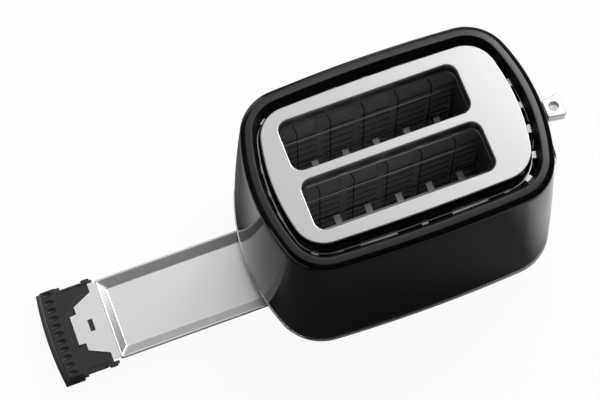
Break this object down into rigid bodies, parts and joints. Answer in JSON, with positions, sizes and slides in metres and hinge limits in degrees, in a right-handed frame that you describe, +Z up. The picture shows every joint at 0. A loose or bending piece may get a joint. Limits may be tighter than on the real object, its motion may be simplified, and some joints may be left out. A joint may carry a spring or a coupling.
{
  "type": "toaster",
  "caption": "Two-slot toaster with a flared gloss-black case, satin metal top plate, chrome trim, lever up and crumb tray drawn out",
  "frame": {"origin": "middle of the base's flat underside, 4 mm above the soles of the feet", "axes": "+X along the bread slots towards the lever and the controls, with the crumb tray coming out at -X; +Z up; -Y the front"},
  "size_m": [0.4316, 0.172, 0.185],
  "materials": {
    "gloss_black": "polished",
    "satin_black": "satin",
    "base_black": "fine grained",
    "satin_metal": "satin",
    "zinc_sheet": "plain sheet",
    "chrome": "polished",
    "guard_wire": "drawn wire",
    "mica": "pressed mica",
    "rubber": "matt",
    "board": "lacquered",
    "coil": "enamelled copper winding"
  },
  "bodies": {
    "housing": {"base_plate": "base_black", "base_trim": "chrome", "button_switch_1": "satin_black", "button_switch_2": "satin_black", "button_switch_3": "satin_black", "cable_gland": "satin_black", "chassis_top": "zinc_sheet", "control_board": "board", "dial_potentiometer": "satin_black", "electromagnet": "coil", "end_plate_left": "zinc_sheet", "end_plate_right": "zinc_sheet", "foot_1": "rubber", "foot_2": "rubber", "foot_3": "rubber", "foot_4": "rubber", "foot_screw_1": "zinc_sheet", "foot_screw_2": "zinc_sheet", "foot_screw_3": "zinc_sheet", "foot_screw_4": "zinc_sheet", "guide_rod": "chrome", "heat_shield_front": "zinc_sheet", "heat_shield_rear": "zinc_sheet", "heater_front_inner": "mica", "heater_front_outer": "mica", "heater_rear_inner": "mica", "heater_rear_outer": "mica", "lift_spring": "zinc_sheet", "outer_shell": "gloss_black", "plate_skirt": "satin_black", "top_plate": "satin_metal", "top_rim": "satin_black"},
    "tray": {"crumb_tray": "satin_metal", "tray_handle": "satin_black"},
    "lift": {"lift_carriage": "zinc_sheet", "bread_rack_front": "zinc_sheet", "bread_rack_rear": "zinc_sheet", "catch_plate": "zinc_sheet", "lever_arm": "zinc_sheet", "lever_knob": "chrome"},
    "guard_front_inner": {"guard_front_inner": "guard_wire"},
    "guard_front_outer": {"guard_front_outer": "guard_wire"},
    "guard_rear_inner": {"guard_rear_inner": "guard_wire"},
    "guard_rear_outer": {"guard_rear_outer": "guard_wire"},
    "dial": {"browning_dial": "chrome"},
    "button_1": {"push_button_1": "satin_black"},
    "button_2": {"push_button_2": "satin_black"},
    "button_3": {"push_button_3": "satin_black"}
  },
  "joints": [
    {"name": "tray_slide", "type": "slide", "parent": "housing", "child": "tray", "axis": [1, 0, 0], "range_m": [0, 0.1787]},
    {"name": "lift_slide", "type": "slide", "parent": "housing", "child": "lift", "axis": [0, 0, -1], "range_m": [0, 0.065], "stiffness_N_per_m": 60, "springref_m": -0.05, "deforming": ["lift_spring"]},
    {"name": "guard_front_inner_slide", "type": "slide", "parent": "housing", "child": "guard_front_inner", "axis": [0, -1, 0], "range_m": [0, 0.008]},
    {"name": "guard_front_outer_slide", "type": "slide", "parent": "housing", "child": "guard_front_outer", "axis": [0, 1, 0], "range_m": [0, 0.008]},
    {"name": "guard_rear_inner_slide", "type": "slide", "parent": "housing", "child": "guard_rear_inner", "axis": [0, 1, 0], "range_m": [0, 0.008]},
    {"name": "guard_rear_outer_slide", "type": "slide", "parent": "housing", "child": "guard_rear_outer", "axis": [0, -1, 0], "range_m": [0, 0.008]},
    {"name": "dial_turn", "type": "hinge", "parent": "housing", "child": "dial", "pos_m": [0.13, 0, 0.045], "axis": [1, 0, 0], "range_deg": [-135, 135]},
    {"name": "button_1_press", "type": "slide", "parent": "housing", "child": "button_1", "axis": [-1, 0, 0], "range_m": [0, 0.0014], "stiffness_N_per_m": 400, "springref_m": -0.002},
    {"name": "button_2_press", "type": "slide", "parent": "housing", "child": "button_2", "axis": [-1, 0, 0], "range_m": [0, 0.0014], "stiffness_N_per_m": 400, "springref_m": -0.002},
    {"name": "button_3_press", "type": "slide", "parent": "housing", "child": "button_3", "axis": [-1, 0, 0], "range_m": [0, 0.0014], "stiffness_N_per_m": 400, "springref_m": -0.002}
  ],
  "couplings": [
    {"joint": "guard_front_inner_slide", "follows": "lift_slide", "ratio": 0.12308},
    {"joint": "guard_front_outer_slide", "follows": "lift_slide", "ratio": 0.12308},
    {"joint": "guard_rear_inner_slide", "follows": "lift_slide", "ratio": 0.12308},
    {"joint": "guard_rear_outer_slide", "follows": "lift_slide", "ratio": 0.12308}
  ]
}
